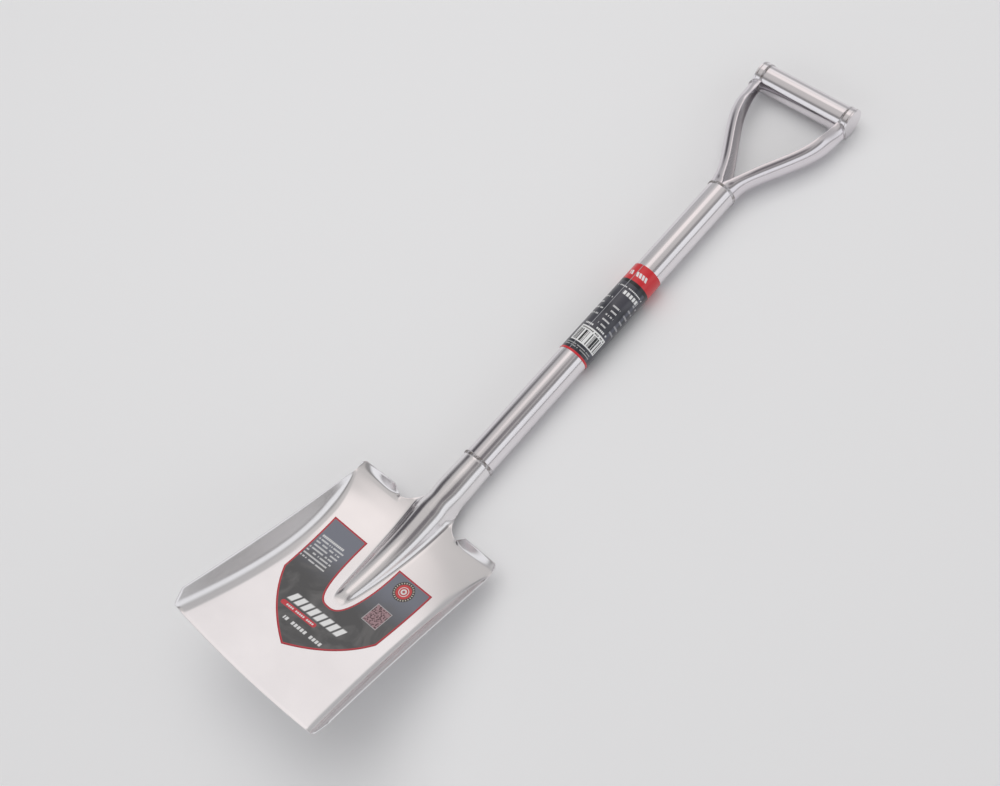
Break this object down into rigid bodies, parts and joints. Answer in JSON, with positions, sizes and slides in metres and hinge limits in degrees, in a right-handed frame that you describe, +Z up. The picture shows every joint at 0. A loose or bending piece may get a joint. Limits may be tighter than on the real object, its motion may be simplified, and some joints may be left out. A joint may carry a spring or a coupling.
{
  "type": "square-mouth shovel",
  "caption": "All-steel D-handle shovel with a square mouth, raised side walls, foot treads, a frog ridge, a tubular shaft and welded joints.",
  "frame": {"origin": "on the floor, below the middle of the object as it lies face up", "axes": "+X to the user's right across the blade, +Y along the shaft towards the grip, +Z up, out of the blade's face"},
  "size_m": [0.2212, 0.975, 0.1235],
  "materials": {
    "blade_steel": "polished stainless steel sheet with faint pressing and grinding marks",
    "tube_steel": "polished stainless steel tube, polished along its length",
    "weld_metal": "rippled weld bead, lightly buffed",
    "sleeve_film": null,
    "sticker_film": null
  },
  "bodies": {
    "root": {"blade": "blade_steel", "seam_weld": "weld_metal", "socket_weld": "weld_metal", "shaft_tube": "tube_steel", "shaft_label": "sleeve_film", "blade_sticker": "sticker_film", "yoke_weld": "weld_metal", "yoke_arm_left": "tube_steel", "yoke_arm_right": "tube_steel", "yoke_plug": "weld_metal", "grip_tube": "tube_steel", "grip_collar_left": "tube_steel", "grip_collar_right": "tube_steel", "collar_weld_left": "weld_metal", "collar_weld_right": "weld_metal", "arm_weld_left": "weld_metal", "arm_weld_right": "weld_metal", "end_cap_left": "tube_steel", "end_cap_right": "tube_steel", "cap_weld_left": "weld_metal", "cap_weld_right": "weld_metal"}
  },
  "joints": []
}
